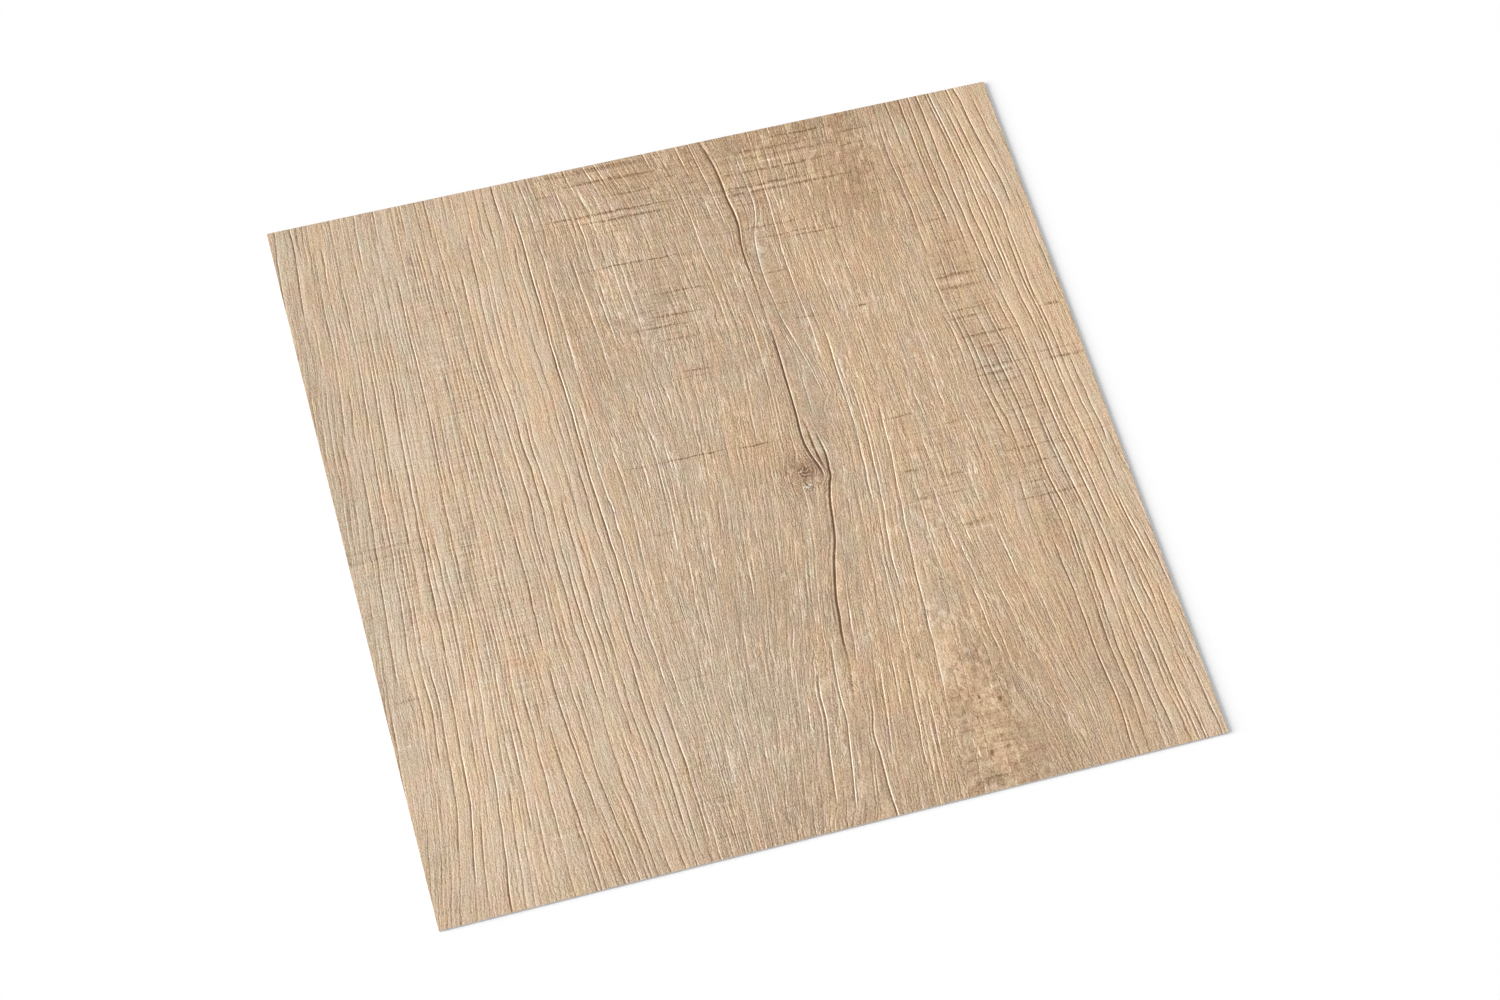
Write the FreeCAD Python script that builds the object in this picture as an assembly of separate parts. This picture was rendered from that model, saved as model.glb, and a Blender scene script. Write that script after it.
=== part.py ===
# A square wood-look vinyl floor tile, for sticking to a smooth floor.
#
# The tile is one sheet of filled vinyl with a printed and embossed face. It is cut from
# the sheet by a steel-rule die that comes down on the face, so the side walls are square
# to it, the upper edge is pressed slightly round, and the lower edge stays sharp.
#
# Millimetres. The origin is the middle of the underside, +Z is up through the face, and
# the printed grain runs along Y.

import FreeCAD, Part
import os

TILE_WIDTH = 305.0       # across the grain, along X
TILE_LENGTH = 305.0      # with the grain, along Y
TILE_THICKNESS = 1.5     # underside to face
CORNER_RADIUS = 0.6      # plan radius that the bent cutting rule leaves at each corner
EDGE_ROUNDING = 0.2      # radius of the upper edge, where the die pressed the face down

UP = FreeCAD.Vector(0, 0, 1)


def rounded_outline(width, length, radius):
    """A closed outline on the ground plane, centred on the origin, with round corners."""
    half_width = width / 2
    half_length = length / 2
    corners = [
        (half_width - radius, half_length - radius, 0),
        (-half_width + radius, half_length - radius, 90),
        (-half_width + radius, -half_length + radius, 180),
        (half_width - radius, -half_length + radius, 270),
    ]
    arcs = [
        Part.makeCircle(radius, FreeCAD.Vector(x, y, 0), UP, start, start + 90)
        for x, y, start in corners
    ]
    edges = []
    for arc, following in zip(arcs, arcs[1:] + arcs[:1]):
        edges.append(arc)
        edges.append(Part.makeLine(arc.lastVertex().Point, following.firstVertex().Point))
    return Part.Wire(edges)


def upper_edges(blank, height):
    """The edges of a blank that lie wholly at this height."""
    return [
        edge
        for edge in blank.Edges
        if all(abs(vertex.Z - height) < Part.Precision.confusion() for vertex in edge.Vertexes)
    ]


def die_cut_tile():
    """The whole tile: the outline raised to its thickness, with the face's edge pressed round."""
    outline = rounded_outline(TILE_WIDTH, TILE_LENGTH, CORNER_RADIUS)
    blank = Part.Face(outline).extrude(UP * TILE_THICKNESS)
    return blank.makeFillet(EDGE_ROUNDING, upper_edges(blank, TILE_THICKNESS))


def main():
    os.makedirs("parts", exist_ok=True)
    tile = die_cut_tile()
    tile.exportStep("parts/vinyl_tile.step")
    box = tile.optimalBoundingBox()
    print(f"vinyl_tile {box.XLength:.2f} x {box.YLength:.2f} x {box.ZLength:.2f} mm")
    print(f"{tile.Volume / 1000:.2f} cm3, {len(tile.Faces)} faces, valid {tile.isValid()}")


main()
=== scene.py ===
# A wood-look vinyl floor tile, dressed around its plain solid.
#
# The face is embossed in register with its print. The grain lines are laid first, as tracks that
# follow guide lines across the tile. The mesh's columns run along those tracks, so that every groove,
# split and the knot is real relief. The print's nodes read the same tracks, so ink and relief agree.
#
# Metres in Blender. The tables of grain features are in millimetres from the tile's far left corner,
# as a ruler on the face would give them: across to the right, then along towards the near edge.

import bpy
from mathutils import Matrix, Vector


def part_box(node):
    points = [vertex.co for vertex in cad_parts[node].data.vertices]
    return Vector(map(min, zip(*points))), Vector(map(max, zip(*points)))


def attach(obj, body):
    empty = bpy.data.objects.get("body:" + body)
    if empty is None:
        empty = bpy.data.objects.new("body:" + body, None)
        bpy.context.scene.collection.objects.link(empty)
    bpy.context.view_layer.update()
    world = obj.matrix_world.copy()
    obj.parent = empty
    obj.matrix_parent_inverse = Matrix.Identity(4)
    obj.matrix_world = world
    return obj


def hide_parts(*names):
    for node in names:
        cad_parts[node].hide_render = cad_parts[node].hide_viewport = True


bl_info = {
    "name": "Embossed Vinyl Tile",
    "version": (1, 0, 0),
    "blender": (4, 5, 0),
    "location": "3D View > Sidebar > Vinyl Tile",
    "description": "Builds a printed and embossed vinyl floor tile, and a pale studio for it",
    "category": "Add Mesh",
}

import math

import bpy
import numpy as np
from mathutils import Matrix, Vector

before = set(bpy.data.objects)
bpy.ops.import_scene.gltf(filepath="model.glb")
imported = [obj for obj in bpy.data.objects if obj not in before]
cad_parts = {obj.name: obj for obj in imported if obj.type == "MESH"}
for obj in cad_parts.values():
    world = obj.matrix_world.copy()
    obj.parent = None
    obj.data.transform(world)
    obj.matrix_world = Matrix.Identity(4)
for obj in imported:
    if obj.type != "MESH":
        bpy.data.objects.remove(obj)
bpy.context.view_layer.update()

MM = 0.001
TILE_LOW, TILE_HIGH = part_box("vinyl_tile")
WIDTH = (TILE_HIGH.x - TILE_LOW.x) / MM
LENGTH = (TILE_HIGH.y - TILE_LOW.y) / MM
THICKNESS = (TILE_HIGH.z - TILE_LOW.z) / MM

# Where the guides below are read, along the tile.
GUIDE_STATIONS = (0, 22, 50, 100, 150, 200, 250, 305)
NAMING_STATION = 150         # a line's name is its place across here

# Each row is one line of the grain: where it lies across the tile at each station. Lines that run out
# over a side edge go on beyond it.
GRAIN_GUIDES = (
    (-25, -27.2, -30, -35, -40, -46, -52, -60),
    (10, 8.7, 7, 3, -1, -6, -10, -16),
    (30, 29.1, 28, 25, 22, 19, 17, 7),
    (46, 45.1, 44, 42, 40, 38.5, 35, 29),
    (64.5, 64.7, 65, 65, 65, 64.5, 65.5, 70.5),
    (78, 77.3, 76.5, 76.5, 77.5, 77.5, 78.5, 82.5),
    (99.5, 99.3, 99, 99.2, 99.5, 100.2, 102, 103.5),
    (117, 119.2, 120, 122.5, 124, 121, 119.5, 119.5),
    (135, 139.6, 141.5, 141.5, 139, 133, 128, 124),
    (169.5, 173.6, 175.5, 178, 173.5, 166, 155, 144),
    (180.5, 182.6, 185.2, 185.5, 185.5, 180, 172.2, 160),
    (202, 201.5, 200.8, 201.5, 200.8, 195.2, 190, 184.5),
    (217, 216.8, 216.5, 217, 216.5, 211.2, 206.8, 201),
    (231, 229.2, 227, 226.2, 226.5, 227, 230.5, 236),
    (247, 245.2, 243, 242.5, 242.5, 243.8, 248.8, 255),
    (254, 254.8, 255.6, 257.2, 260.4, 262, 264, 264.8),
    (264.5, 265.6, 267, 268.2, 271.8, 274.8, 275.5, 276),
    (276, 276.3, 277.3, 279.9, 283.6, 287.2, 289.8, 292),
    (288, 289.6, 293.2, 295.3, 296.8, 301.2, 305.5, 310),
    (300, 301.8, 304, 307, 310, 313.8, 317.5, 322),
    (330, 332.2, 335, 340, 345, 350, 356, 362),
)

# The grooves that stand out: across at the start, start, end, and depth as a share of a full groove.
STRONG_GROOVES = (
    # The pale left side.
    (3, 0, 28, 0.5), (9.5, 1, 42, 0.6), (14.2, 0, 18, 0.4), (20, 14, 29, 0.5), (15, 37, 66, 0.5),
    (26.3, 0, 11, 0.4), (35.8, 0, 26, 0.5), (45, 0, 14, 0.6), (53.6, 1, 16, 0.45), (64.5, 0, 19, 0.5),
    (82, 8, 24, 0.45), (86, 0, 24, 0.5), (93.8, 0, 21, 0.85), (78, 21, 62, 0.7), (10, 47, 66, 0.45),
    (25, 15, 100, 0.5), (31.5, 24, 76, 0.5), (35.8, 38, 76, 0.45), (38, 46, 76, 0.45),
    (44.8, 35, 128, 0.65), (49.8, 22, 45, 0.5), (48.6, 46, 66, 0.45), (54, 22, 47, 0.5),
    (57, 22, 58, 0.5), (59, 18, 70, 0.5), (62.4, 33, 46, 0.6), (65.5, 22, 108, 0.5),
    (71.8, 35, 105, 0.6), (80.2, 49, 83, 0.5), (88.5, 38, 76, 0.45), (92.4, 50, 125, 0.45),
    (96, 30, 74, 0.55), (104.2, 0, 108, 0.6), (99.2, 15, 205, 1.0), (76.2, 84, 235, 0.75),
    (7.7, 76, 112, 0.5), (12.4, 76, 98, 0.5), (17, 78, 102, 0.5), (27.6, 64, 125, 0.55),
    (29.6, 52, 125, 0.5), (33, 80, 200, 0.75), (36.6, 78, 158, 0.5), (47, 92, 114, 0.45),
    (55.3, 82, 106, 0.45), (61.2, 76, 110, 0.55), (67.8, 80, 117, 0.6), (9.8, 98, 122, 0.45),
    (15, 110, 205, 0.6), (20.5, 102, 228, 0.55), (26.2, 118, 150, 0.5), (41, 120, 210, 0.5),
    (46.3, 117, 142, 0.55), (51.2, 124, 155, 0.45), (54.8, 108, 130, 0.45), (57.3, 108, 145, 0.5),
    (60, 108, 165, 0.5), (64.8, 108, 155, 0.75), (65, 158, 205, 0.75), (72.6, 105, 172, 0.75),
    (70, 125, 155, 0.45), (81.5, 108, 232, 0.7), (86, 148, 218, 0.8), (90.6, 120, 210, 0.55),
    (95.6, 108, 224, 0.55), (102.8, 108, 232, 0.65), (110.2, 130, 200, 0.6), (20.4, 152, 192, 0.5),
    (23, 152, 200, 0.5), (33.6, 152, 229, 0.6), (36, 160, 186, 0.45), (39.3, 152, 200, 0.5),
    (47, 148, 163, 0.5), (44.2, 162, 208, 0.5), (46.2, 190, 207, 0.5), (58.8, 150, 170, 0.5),
    (55, 160, 208, 0.45), (69.5, 158, 206, 0.5), (72.6, 174, 218, 0.5), (89, 158, 182, 0.45),
    (88.5, 196, 224, 0.55), (17, 206, 241, 0.7), (20.5, 200, 278, 0.6), (26.2, 200, 291, 0.8),
    (29.4, 229, 250, 0.45), (35.2, 235, 304, 0.75), (37.5, 200, 232, 0.5), (39.5, 218, 250, 0.55),
    (41.3, 232, 255, 0.5), (43, 208, 235, 0.5), (44, 236, 275, 0.6), (47, 222, 252, 0.55),
    (52, 222, 285, 0.65), (58, 236, 305, 0.7), (64.5, 215, 275, 0.75), (69.5, 218, 305, 0.55),
    (73.2, 225, 248, 0.5), (37, 258, 292, 0.55), (40, 262, 288, 0.5), (45.7, 265, 290, 0.6),
    (52, 287, 304, 0.45), (58.2, 276, 305, 0.5), (69, 282, 305, 0.6), (76.5, 270, 304, 0.5),
    (79, 259, 304, 0.65), (83.8, 248, 271, 0.55), (87.2, 220, 250, 0.5), (89.5, 236, 304, 0.55),
    (92, 244, 292, 0.5), (94.2, 222, 288, 0.75), (97.8, 236, 300, 0.6), (102, 239, 295, 0.75),
    (107.8, 220, 252, 0.5), (24.5, 270, 298, 0.5), (61.3, 282, 305, 0.45), (13.2, 246, 262, 0.4),
    # The brown middle.
    (123, 0, 12, 0.6), (126, 10, 23, 0.8), (131.2, 0, 14, 0.8), (136, 0, 9, 0.7), (144.8, 5, 22, 0.5),
    (156.8, 0, 8, 0.7), (117.4, 8, 46, 0.6), (124.6, 23, 49, 0.7), (131.2, 45, 74, 0.55),
    (116.2, 44, 84, 0.65), (122.5, 52, 84, 0.55), (134.2, 45, 82, 0.6), (156.4, 58, 90, 0.5),
    (166.8, 24, 66, 0.6), (171, 0, 14, 0.7), (168.3, 67, 90, 0.55), (180.2, 66, 92, 0.6),
    (125, 125, 179, 0.6), (127, 140, 160, 0.5), (132, 140, 148, 0.5), (125.8, 210, 224, 0.5),
    (175.5, 0, 38, 0.8), (172, 68, 105, 0.55), (179.8, 84, 143, 0.5), (169.3, 106, 139, 0.4),
    (200.8, 16, 110, 0.6), (208, 12, 42, 0.4), (209.5, 41, 68, 0.4), (212, 48, 100, 0.4),
    (226.5, 31, 60, 0.6), (224.2, 41, 78, 0.5), (206.2, 100, 178, 0.9), (209.5, 125, 215, 0.9),
    (211.2, 135, 175, 0.5), (217.2, 138, 261, 0.95), (220.8, 175, 210, 0.55), (227.2, 180, 208, 0.5),
    (242.5, 86, 146, 0.45), (144.5, 162, 173, 0.5), (149.5, 185, 205, 0.6), (138, 175, 200, 0.4),
    (230.2, 202, 222, 0.7), (230, 222, 250, 0.7), (239, 220, 250, 0.55), (246.5, 205, 222, 0.7),
    (191.8, 241, 262, 0.8), (195, 250, 288, 0.85), (184.5, 248, 280, 0.8), (194.5, 276, 300, 0.5),
    (200, 262, 290, 0.6), (181.5, 212, 240, 0.6), (199.3, 200, 237, 0.75), (127.4, 238, 275, 0.55),
    # The warm right side.
    (255, 10, 75, 0.6), (258, 10, 65, 0.6), (262, 0, 28, 0.6), (267.5, 0, 62, 0.85),
    (271.8, 0, 72, 0.75), (276, 0, 95, 0.9), (279.5, 0, 30, 0.7), (281.2, 0, 92, 1.0),
    (285.2, 10, 70, 0.7), (288, 0, 10, 0.8), (289.2, 15, 105, 0.85), (292.5, 0, 60, 1.0),
    (298.5, 8, 31, 0.6), (302.5, 64, 95, 0.6), (291.2, 75, 120, 0.9), (281, 44, 94, 0.8),
    (286.8, 72, 90, 0.6), (261.3, 72, 92, 0.5), (255.8, 80, 106, 0.6), (266, 74, 88, 0.5),
    (255.5, 107, 131, 0.7), (258.2, 104, 162, 0.8), (261.8, 114, 166, 0.7), (267.5, 104, 120, 0.5),
    (265.6, 120, 150, 0.5), (269.8, 122, 218, 0.9), (272.2, 101, 132, 0.7), (280.2, 98, 127, 0.7),
    (287.5, 92, 126, 0.75), (281.8, 124, 208, 0.85), (285.9, 128, 208, 0.8), (298, 134, 175, 0.7),
    (293, 119, 142, 0.5), (273.7, 110, 200, 0.6), (278.6, 100, 156, 0.6), (289.7, 118, 206, 0.7),
    (294.2, 110, 195, 0.6), (268, 148, 166, 0.55), (277.5, 157, 236, 0.8), (302.5, 172, 188, 0.6),
    (270.3, 186, 224, 0.6), (261.5, 182, 204, 0.55), (254.5, 152, 165, 0.5), (297, 200, 228, 1.0),
    (301.8, 217, 240, 0.85), (267, 212, 300, 0.85), (273.2, 212, 295, 0.7), (280.8, 218, 235, 0.8),
    (276.5, 214, 290, 0.65), (280.5, 237, 290, 0.6), (284.2, 244, 297, 0.75), (286.6, 240, 295, 0.55),
    (286.2, 200, 225, 0.7), (289.5, 217, 304, 0.75), (292.2, 217, 262, 0.6), (295.6, 218, 246, 0.65),
    (300.3, 240, 268, 0.6), (299.5, 272, 305, 0.75), (294.8, 288, 305, 0.6), (297, 267, 280, 0.5),
)

# Splits in the print's plank: points down the middle of each, as across, along and how deep it is there,
# then how deep the whole is and how strong the painted highlight on its lit flank is beside that.
SPLITS = (
    # The long split from the far edge to the knot.
    (((181.2, 0, 0.5), (184, 12, 0.7), (185, 22, 0.95), (185.2, 29, 1), (186.2, 37, 1.1),
      (186.2, 45, 0.9), (185, 51, 0.8), (185, 68, 0.6), (185.2, 76, 0.3), (185.5, 92, 0.35),
      (185.4, 102, 0.9), (185, 114, 1.1), (184.5, 132, 1.1), (184, 146, 1), (185.2, 152, 1),
      (186.8, 157, 1), (187.8, 161, 0.9)), 1.0, 0.45),
    # The split that takes over at the knot and fades towards the near edge.
    (((190, 144, 0.7), (191.2, 153, 1), (190.6, 160, 1.1), (189, 166, 1.1), (187, 173, 1.1),
      (185.5, 182, 0.9), (183.8, 190, 0.8), (181.2, 197, 0.9), (179, 205, 1), (176.8, 214, 1),
      (175.8, 222, 0.95), (174.5, 230, 0.85), (174.2, 235, 0.5), (174.2, 239, 0.3), (173, 247, 0.4),
      (171.5, 256, 0.35)), 1.0, 0.3),
    # Strands beside the long split.
    (((193.6, 12, 0.7), (194.4, 25, 0.9), (194.8, 35, 1), (193.4, 42, 1), (191, 48, 1),
      (189.8, 54, 1.2), (189, 62, 1.3), (189, 72, 1.2), (189.7, 80, 0.9), (190.6, 90, 1),
      (193, 101, 0.8), (195.3, 112, 0.7), (197.5, 126, 0.5)), 0.3, 2.0),
    (((187, 139, 1), (187.5, 150, 1), (188.4, 157, 1)), 0.7, 0.2),
    # Cracks near the near edge.
    (((162.2, 240, 0.6), (160, 248, 0.9), (159, 262, 1), (157, 272, 1), (153.5, 294, 0.7)), 0.5, 1.5),
    (((169.8, 232, 0.6), (168, 243, 0.9), (167, 254, 1), (166.5, 264, 1), (165, 272, 1.1),
      (163.2, 282, 1), (160.2, 297, 0.7)), 0.5, 1.5),
    (((178, 257, 0.5), (176.8, 264, 0.9), (175, 270, 1), (174.8, 280, 1), (174, 294, 1.1),
      (174.2, 305, 1.2)), 0.5, 1.5),
)

# Where the grain lines are faint: middle across and along, half size across and along.
CALM = ((194.5, 146, 4.5, 20), (235, 30, 14, 30), (218, 272, 12, 22), (181, 158, 8, 9), (152, 26, 8, 14))

KNOT = (180.6, 158.6)        # middle of the knot, across and along
KNOT_CORE = 2.3              # radius of its hard core
KNOT_CURL = (180.4, 165.3)   # middle of the small curl below it
KNOT_HALO = 12.5             # radius of the darkened wood round it
KNOT_RING_GAP = 1.1          # between the rings round it
KNOT_PUSH = 2.6              # how far the grain is pushed aside by it
KNOT_REACH = (8.0, 8.5)      # how far that push reaches across and along
KNOT_PARTING = 2.2           # how far across the push takes to change sides
KNOT_BOWL = (0.12, 6.0)      # depth and radius of its dip
KNOT_RIM = (0.05, 1, 1.2)    # height, place past the core and half width of the rim
RIM_FROM = 0.02              # depth of the dip from which it has a rim

# How the grain lines lie in each strip of the tile: the strip's end across, the gap between lines,
# their depth as a share of a full groove, the share of each line that shows, how long it runs, and how
# firm the grooves that stand out are there.
GRAIN_STRIPS = (
    (33, 2.4, 0.36, 0.58, 34, 1.09),
    (108, 2.2, 0.36, 0.60, 30, 1.05),
    (205, 1.75, 0.34, 0.50, 16, 0.97),
    (252, 1.8, 0.34, 0.50, 18, 0.97),
    (400, 3.9, 0.32, 0.5, 34, 1.0),
)

# Patches of tone: middle across and along, half size across and along, lightness and warmth.
TONE_PATCHES = (
    # Lighter and darker areas.
    (150, 4, 60, 10, -0.15, 0.3), (200, 18, 60, 28, -0.4, 0.3), (240, 28, 14, 34, -0.5, 0.4),
    (118, 60, 14, 50, -0.2, 0), (140, 66, 36, 36, -0.3, 0), (30, 235, 26, 40, 0.35, 0.3),
    (50, 130, 50, 90, 0.15, 0.1), (85, 60, 22, 60, 0.05, 0.2), (288, 60, 18, 80, 0.15, 0.6),
    (299, 118, 8, 12, 0.15, 0.9), (270, 85, 12, 20, -0.3, 0.3), (225, 100, 40, 110, 0.05, 0.5),
    (130, 245, 24, 34, 0, -0.8), (193, 140, 5, 24, -0.3, -1), (190, 250, 18, 26, -0.1, 0.8),
    (230, 268, 30, 34, -0.65, 0.1), (165, 145, 14, 12, 0, 0.6), (10, 165, 12, 32, 0.15, -0.4),
    (40, 50, 14, 40, 0.1, -0.2), (150, 205, 24, 26, -0.3, -0.1), (288, 200, 22, 100, 0.1, 0.4),
    (218, 283, 7, 11, 0.6, 1.2), (214, 241, 6, 5, 0.5, 0.9), (201, 256, 4, 9, 0.35, 0.9),
    (180, 158, 12, 12, -0.4, 0.3), (250, 240, 14, 40, 0.2, 0.4), (268, 150, 11, 220, -0.45, 0),
    (240, 285, 35, 50, -0.4, 0.3), (33, 150, 11, 200, 0.12, 0), (81, 150, 11, 200, 0.15, 0),
    (130, 60, 10, 60, 0.3, 0), (222, 264, 22, 26, 0.3, 0.1), (246, 278, 14, 24, 0.45, -0.4),
    (4, 140, 9, 150, -0.3, -0.6), (200, 215, 16, 60, 0.2, 0), (252, 16, 20, 10, 0.3, 0),
    (186, 150, 20, 200, -0.15, 0), (145, 12.5, 18, 8, -0.35, 0), (117, 13, 18, 22, 0.2, 0),
    (225, 2, 50, 9, -0.5, 0), (120, 302, 130, 12, -0.25, 0), (212, 300, 16, 20, -0.3, 0.2),
    (186, 257, 3, 7, 0.35, 0.9), (200.7, 231, 2.5, 6, 0.3, 1.2), (268, 8, 8, 8, -0.3, 0),
    (22, 112, 14, 12, 0.3, 0), (12, 256, 10, 20, 0.3, 0.2), (5, 240, 6, 8, -0.3, -0.4),
    (232, 40, 16, 22, -0.25, 0.2), (38, 285, 14, 30, 0.3, 0), (9, 190, 8, 26, 0.35, 0),
    (139, 292, 14, 18, -0.35, 0), (78, 288, 18, 14, -0.22, 0), (296, 139, 5, 8, 0.4, 0),
    (293, 114, 5, 10, 0.25, 0), (117, 220, 14, 60, 0.2, 0),
    # Small places that are greyer or warmer.
    (190, 62, 4, 16, 0, -0.7), (194, 110, 5, 18, 0, -0.7), (137, 95, 8, 28, 0, -0.7),
    (127, 145, 7, 14, 0, -0.8), (42, 45, 9, 40, 0, -0.5), (37, 172, 8, 9, 0, -0.5),
    (267, 133, 6, 9, 0, -0.9), (270, 112, 5, 8, 0, -0.6), (280, 175, 4, 16, 0, -0.6),
    (57.5, 211, 5, 2.5, 0.1, 1.5), (7, 157, 5, 3, 0.1, 1.2), (84, 90, 4, 3, 0.1, 1),
    (95, 95, 2, 7, 0.1, 0.9), (76, 76, 3, 4, 0.1, 1), (224, 207, 3, 4, 0.1, 1),
    (161, 132, 4, 10, 0.1, 0.9), (216, 125, 4, 12, 0.1, 0.8), (217, 152, 6, 10, 0.1, 0.7),
    (262, 42, 3, 7, 0.1, 1.3), (275, 78, 4, 5, 0.1, 0.9), (290, 15, 4, 5, 0.1, 1.2),
    (288, 40, 4, 5, 0.1, 0.9), (301, 118, 4, 9, 0, 0.8), (207, 68, 4, 6, 0.1, 0.9),
    (253, 197, 5, 25, 0, 0.6), (255, 150, 4, 6, 0, 0.7),
)

# Where the print is blotched rather than lined: middle across and along, half size across and along.
BLOTCHES = ((214, 276, 16, 22), (222, 250, 9, 8), (245, 22, 12, 26))

# Where faint lines run across the grain: middle across and along, half size across and along.
HATCHED = (
    (165, 22, 68, 30), (142, 76, 30, 22), (268, 110, 16, 60), (22, 165, 34, 45), (58, 75, 20, 60),
    (112, 282, 12, 30), (228, 172, 18, 36), (275, 175, 30, 28), (52, 200, 16, 50), (216, 285, 16, 22),
)

# The fine figure of the middle fades out towards both sides of the tile, between these places across.
FIGURED = (92, 112, 246, 264)

# Marks across the grain, most of them left by the saw: middle across and along, half length, half width,
# and how dark. Those below 0 are pale.
CROSS_MARKS = (
    # Over the far middle.
    (133, 2.4, 28, 1.3, 0.7), (138, 8.4, 28, 0.8, 0.75), (112, 11, 5, 0.5, 0.9), (148, 16.6, 14, 0.5, 0.6),
    (138, 24, 31, 0.6, 1.1), (140, 26, 27, 0.5, -0.25), (143, 27.8, 27, 0.55, 0.9),
    (140, 49.6, 27, 0.45, 0.8), (200, 26, 24, 0.55, 0.9), (208, 29.2, 31, 0.62, 1.1),
    (205, 27.6, 24, 0.5, -0.4), (209, 19.3, 24, 0.6, 0.85), (223, 5.2, 14, 0.5, 0.9),
    (207, 9.6, 22, 0.8, 0.6), (243, 9.5, 10, 0.5, 0.6), (215, 13.2, 25, 0.6, 0.5),
    (211, 15.5, 26, 0.7, -0.5), (242, 16, 5, 0.5, 0.6), (192, 34, 16, 0.45, 0.4), (199, 46, 26, 0.45, 0.5),
    (202, 51.2, 25, 0.45, 0.6), (215, 53.5, 15, 0.45, 0.8), (154, 66.7, 13, 0.45, 0.9),
    (194, 68, 7, 0.5, 0.6), (151, 77.2, 12, 0.6, 0.9), (144, 81.5, 17, 0.45, 0.8),
    (188, 82.5, 28, 0.4, 0.3), (148, 88.1, 10, 0.45, 0.8), (152, 93.6, 7, 0.4, 0.4),
    (152, 103.8, 7, 0.45, 0.8), (151, 106.5, 10, 0.4, 0.4), (178, 105, 11, 0.45, 0.4),
    (201, 91, 6, 0.5, 0.5), (224.5, 91.7, 5, 0.7, 1), (133, 140.9, 22, 0.4, 1.1),
    (165, 142.3, 9, 0.45, 0.9), (187, 143.4, 14, 0.4, 0.3),
    # Over the warm right side.
    (262, 32.4, 9, 0.65, 0.38), (266, 60.1, 6, 0.65, 0.47), (266, 71.2, 5, 0.78, 0.47),
    (264.5, 87.2, 11, 0.9, 0.7), (265, 90.2, 10, 1.04, -0.47), (263.5, 92.9, 10, 0.9, 0.65),
    (266, 103.6, 11, 0.59, 0.66), (263, 107, 8, 0.65, 0.76), (269, 116.3, 15, 0.65, 0.76),
    (269, 122.5, 6, 0.59, 0.76), (269, 131.2, 12, 0.65, 0.85), (269, 133, 7, 0.65, -0.38),
    (266, 134.6, 9, 0.78, 0.85), (268, 139, 13, 0.65, 0.47), (300, 109.6, 6, 0.78, 0.76),
    (293, 130, 12, 0.59, 0.57), (296, 134, 11, 0.8, 0.8), (221.5, 144.1, 10, 0.65, 0.65),
    (243, 151.8, 6, 0.65, 0.45), (277, 152.5, 14, 0.52, 0.38), (229, 160.3, 12, 0.59, 0.45),
    (222, 168.8, 5, 0.91, 0.6), (237, 174.2, 8, 0.65, 0.5), (223, 181, 5, 0.78, 0.6),
    (237, 181.8, 10, 0.59, 0.45), (239, 196.2, 8, 1.17, 0.55), (240, 199.1, 7, 0.78, -0.45),
    (270, 169.6, 13, 0.59, 0.7), (294, 168.8, 12, 0.52, 0.38), (275, 176.8, 10, 0.65, 0.57),
    (274, 191.6, 17, 0.59, 0.75), (268, 185, 7, 0.52, 0.38), (271.5, 162.5, 5, 0.65, 0.57),
    # Down the left of the middle.
    (120, 170.6, 6.5, 0.45, 0.4), (114, 191, 6.5, 0.45, 0.3), (113.5, 208.1, 6.5, 0.45, 0.3),
    (116, 232.1, 9.1, 0.5, 0.35), (111.5, 267.5, 7.8, 0.45, 0.35), (113.5, 281.2, 13, 0.6, 0.45),
    (112, 296.6, 9.1, 0.5, 0.4),
    # Over the pale left side.
    (62.5, 54.1, 7.8, 0.5, 0.4), (29, 59, 10.4, 0.5, 0.4), (58, 80.8, 11.7, 0.5, 0.35),
    (56, 99.2, 9.1, 0.45, 0.3), (20, 107.3, 28.6, 0.5, 0.25), (26, 117.7, 10.4, 0.45, 0.3),
    (56, 118.8, 10.4, 0.45, 0.3), (52.5, 125.5, 7.8, 0.5, 0.35), (12, 149.4, 22.1, 0.6, 0.35),
    (12, 153.6, 22.1, 0.6, 0.35), (45, 156.8, 10.4, 0.5, 0.45), (8, 163.2, 16.9, 0.5, 0.3),
    (10, 167.6, 6.5, 0.5, 0.35), (5, 178.1, 13, 0.5, 0.25), (51, 184.3, 16.9, 0.5, 0.35),
    (51, 199.2, 16.9, 0.5, 0.4), (6, 198.8, 11.7, 0.5, 0.3), (9, 214.2, 7.8, 0.9, 0.45),
    (41, 225.8, 7.8, 0.45, 0.3), (55, 228, 7.8, 0.5, 0.3), (30, 260.8, 18.2, 0.45, 0.3),
    (54, 279.2, 10.4, 0.5, 0.3), (54, 281.3, 10.4, 0.5, -0.25), (5, 232.5, 5.2, 0.6, -0.35),
    # By the near edge.
    (214, 299.5, 5, 0.6, 0.5),
)

# The saw's marks bend: how far along they shift in all, and between which places across.
SAW_BEND = (3.0, 90, 235)

# The tile's edge, in mm, as its solid has it.
EDGE_ROUNDING = 0.2          # radius of the upper edge
CORNER_RADIUS = 0.6          # plan radius of each corner
LEAST_DROP = 0.2             # share of the edge's drop kept where a groove runs out over it

# Rows of the face along the tile.
ROWS = 105
ROWS_READ = 3000             # places at which their density is read
KNOT_CLOSER = 1.6            # how much closer they lie at the knot
KNOT_CLOSE_REACH = 9         # mm along on each side over which they do

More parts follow.
